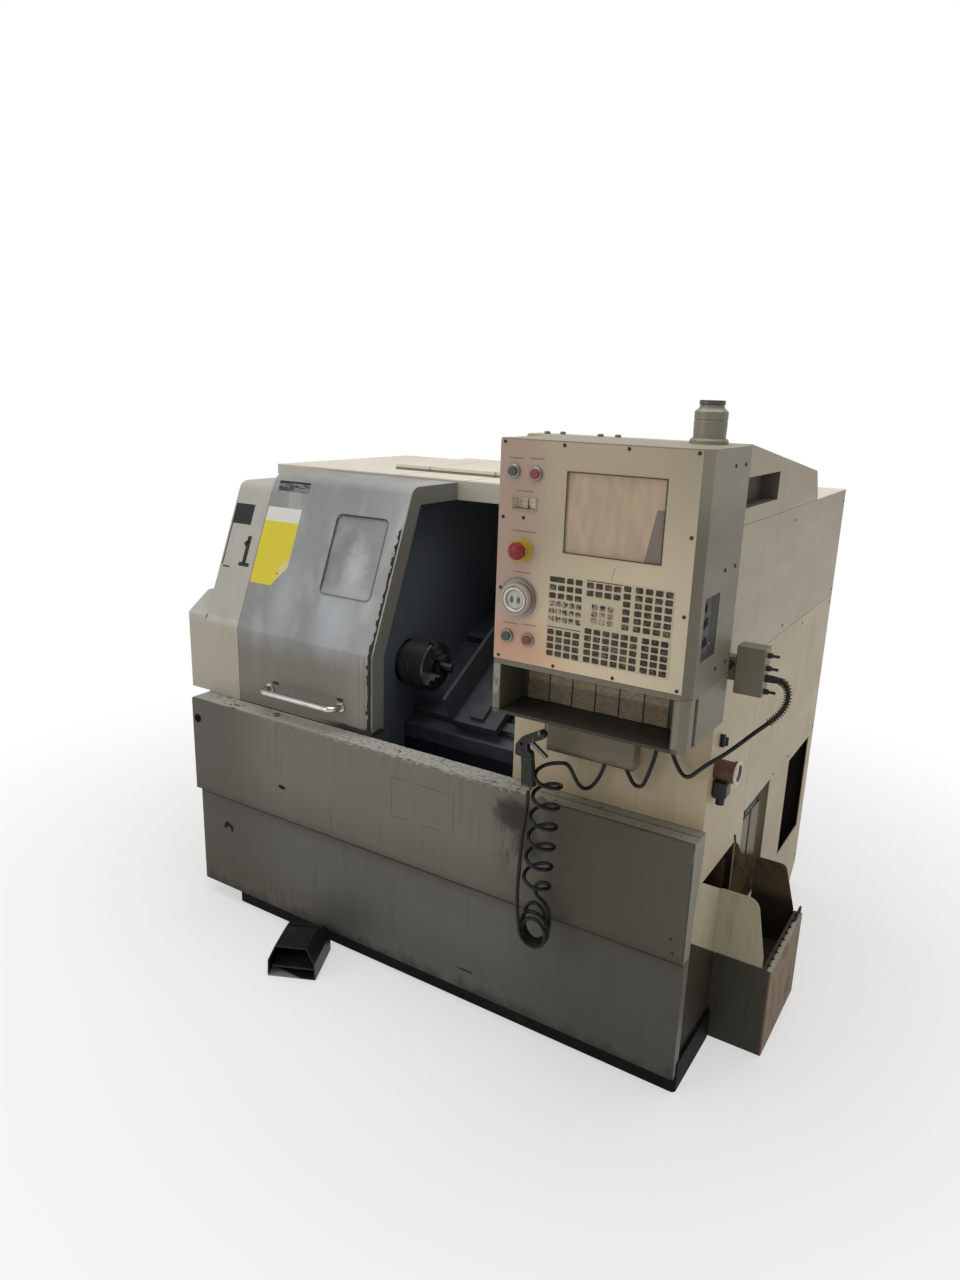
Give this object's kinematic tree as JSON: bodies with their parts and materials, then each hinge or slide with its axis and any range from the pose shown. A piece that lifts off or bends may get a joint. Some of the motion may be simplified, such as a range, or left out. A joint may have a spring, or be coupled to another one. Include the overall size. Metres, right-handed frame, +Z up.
{
  "type": "cnc turning lathe",
  "caption": "Compact slant-bed turning lathe with sliding front door, chuck and tool turret, side control box with keys and jog wheel, coiled air hose with gun, chip bin and foot pedal.",
  "frame": {"origin": "on the floor under the middle of the machine: the middle of the front apron's length, half-way from the apron's face to the back wall", "axes": "+X to the operator's right along the spindle, +Y from the operator into the machine, +Z up"},
  "size_m": [2.003, 1.537, 1.75],
  "materials": {
    "apron_grey": "satin",
    "cover_beige": "satin",
    "plate_cream": "satin",
    "pendant_grey": "satin",
    "plinth_black": "matt",
    "interior_blue": "matt",
    "tank_grey": "worn",
    "bare_steel": "ground",
    "cast_iron": "machined",
    "handle_chrome": "polished",
    "beacon_lens": "gloss",
    "clear_glass": "clear",
    "screen_glass": "dark",
    "key_sheet": "matt",
    "black_plastic": "matt",
    "green_cap": "gloss",
    "red_cap": "gloss",
    "yellow_ring": "gloss",
    "hose_black": "matt",
    "belt_rubber": "matt",
    "pedal_paint": "worn",
    "dial_silver": "satin"
  },
  "bodies": {
    "machine": {"base_plinth": "plinth_black", "bed_casting": "cast_iron", "apron_band": "apron_grey", "apron_panel": "apron_grey", "left_cover": "cover_beige", "belt_cover": "cover_beige", "fixed_front_panel": "cover_beige", "work_liner": "interior_blue", "chip_trough": "interior_blue", "roof_panel": "cover_beige", "roof_hatch": "cover_beige", "rear_housing": "cover_beige", "right_front_wall": "cover_beige", "side_wall_upper": "cover_beige", "side_wall_lower": "cover_beige", "upper_cabinet": "cover_beige", "beacon": "beacon_lens", "pendant_shroud": "pendant_grey", "control_plate": "plate_cream", "screen_glass": "screen_glass", "keypad": "key_sheet", "load_meter": "black_plastic", "panel_bezels": "bare_steel", "estop_collar": "yellow_ring", "control_tray": "cover_beige", "headstock": "cast_iron", "spindle_motor": "black_plastic", "drive_belt": "belt_rubber", "air_manifold": "cover_beige", "side_fittings": "black_plastic", "power_inlet": "pendant_grey", "slot_column": "tank_grey", "chip_tank": "tank_grey", "chip_chute": "tank_grey", "air_gun": "black_plastic", "air_hose_coil": "hose_black", "air_hose_run": "hose_black", "air_hose_tail": "hose_black", "pedal_housing": "pedal_paint"},
    "door": {"door_panel": "apron_grey", "door_window": "clear_glass", "door_handle": "handle_chrome"},
    "spindle": {"spindle": "bare_steel", "chuck_body": "bare_steel"},
    "jaw_1": {"chuck_jaw_1": "bare_steel"},
    "jaw_2": {"chuck_jaw_2": "bare_steel"},
    "jaw_3": {"chuck_jaw_3": "bare_steel"},
    "motor_wheel": {"motor_pulley": "bare_steel"},
    "saddle": {"saddle": "cast_iron"},
    "cross_slide": {"cross_slide": "cast_iron"},
    "turret": {"turret": "bare_steel"},
    "estop_button": {"estop_button": "red_cap"},
    "power_on_button": {"power_on_button": "green_cap"},
    "power_off_button": {"power_off_button": "red_cap"},
    "cycle_start_button": {"cycle_start_button": "green_cap"},
    "feed_hold_button": {"feed_hold_button": "red_cap"},
    "jog_wheel": {"jog_wheel": "dial_silver"},
    "meter_needle": {"meter_needle": "red_cap"},
    "gun_lever": {"gun_lever": "bare_steel"},
    "treadle": {"pedal_treadle": "bare_steel"}
  },
  "joints": [
    {"name": "door_slide", "type": "slide", "parent": "machine", "child": "door", "axis": [1, 0, 0], "range_m": [0, 0.492]},
    {"name": "spindle_spin", "type": "hinge", "parent": "machine", "child": "spindle", "pos_m": [-0.218, -0.295, 0.895], "axis": [1, 0, 0], "continuous": true},
    {"name": "jaw_1_feed", "type": "slide", "parent": "spindle", "child": "jaw_1", "axis": [0, -0.2588, 0.9659], "range_m": [-0.004, 0.004]},
    {"name": "jaw_2_feed", "type": "slide", "parent": "spindle", "child": "jaw_2", "axis": [0, -0.7071, -0.7071], "range_m": [-0.004, 0.004]},
    {"name": "jaw_3_feed", "type": "slide", "parent": "spindle", "child": "jaw_3", "axis": [0, 0.9659, -0.2588], "range_m": [-0.004, 0.004]},
    {"name": "motor_spin", "type": "hinge", "parent": "machine", "child": "motor_wheel", "pos_m": [-0.82, 0.02392, 1.00496], "axis": [1, 0, 0], "continuous": true},
    {"name": "saddle_feed", "type": "slide", "parent": "machine", "child": "saddle", "axis": [1, 0, 0], "range_m": [-0.03, 0.19]},
    {"name": "cross_feed", "type": "slide", "parent": "saddle", "child": "cross_slide", "axis": [0, 0.8572, 0.515], "range_m": [-0.24, 0]},
    {"name": "turret_index", "type": "hinge", "parent": "cross_slide", "child": "turret", "pos_m": [0, 0.04358, 1.09844], "axis": [1, 0, 0], "continuous": true},
    {"name": "estop_push", "type": "slide", "parent": "machine", "child": "estop_button", "axis": [0, 1, 0], "range_m": [0, 0.006], "stiffness_N_per_m": 1500, "springref_m": -0.002},
    {"name": "power_on_push", "type": "slide", "parent": "machine", "child": "power_on_button", "axis": [0, 1, 0], "range_m": [0, 0.004], "stiffness_N_per_m": 800, "springref_m": -0.002},
    {"name": "power_off_push", "type": "slide", "parent": "machine", "child": "power_off_button", "axis": [0, 1, 0], "range_m": [0, 0.004], "stiffness_N_per_m": 800, "springref_m": -0.002},
    {"name": "cycle_start_push", "type": "slide", "parent": "machine", "child": "cycle_start_button", "axis": [0, 1, 0], "range_m": [0, 0.004], "stiffness_N_per_m": 800, "springref_m": -0.002},
    {"name": "feed_hold_push", "type": "slide", "parent": "machine", "child": "feed_hold_button", "axis": [0, 1, 0], "range_m": [0, 0.004], "stiffness_N_per_m": 800, "springref_m": -0.002},
    {"name": "jog_turn", "type": "hinge", "parent": "machine", "child": "jog_wheel", "pos_m": [0.478, -0.845, 1.306], "axis": [0, -1, 0], "continuous": true},
    {"name": "needle_swing", "type": "hinge", "parent": "machine", "child": "meter_needle", "pos_m": [0.482, -0.825, 1.51], "axis": [0, 1, 0], "range_deg": [-45, 45], "stiffness_Nm_per_rad": 0.0005},
    {"name": "gun_lever_pull", "type": "hinge", "parent": "machine", "child": "gun_lever", "pos_m": [0.456, -0.715, 0.913], "axis": [0, 1, 0], "range_deg": [0, 12], "stiffness_Nm_per_rad": 0.6, "springref_deg": -8.59},
    {"name": "treadle_press", "type": "hinge", "parent": "machine", "child": "treadle", "pos_m": [-0.38809, -0.76542, 0.022], "axis": [0.9048, 0.4258, 0], "range_deg": [0, 8], "stiffness_Nm_per_rad": 20, "springref_deg": -8.59}
  ],
  "couplings": [
    {"joint": "jaw_2_feed", "follows": "jaw_1_feed", "ratio": 1},
    {"joint": "jaw_3_feed", "follows": "jaw_1_feed", "ratio": 1},
    {"joint": "motor_spin", "follows": "spindle_spin", "ratio": 1.6129}
  ]
}
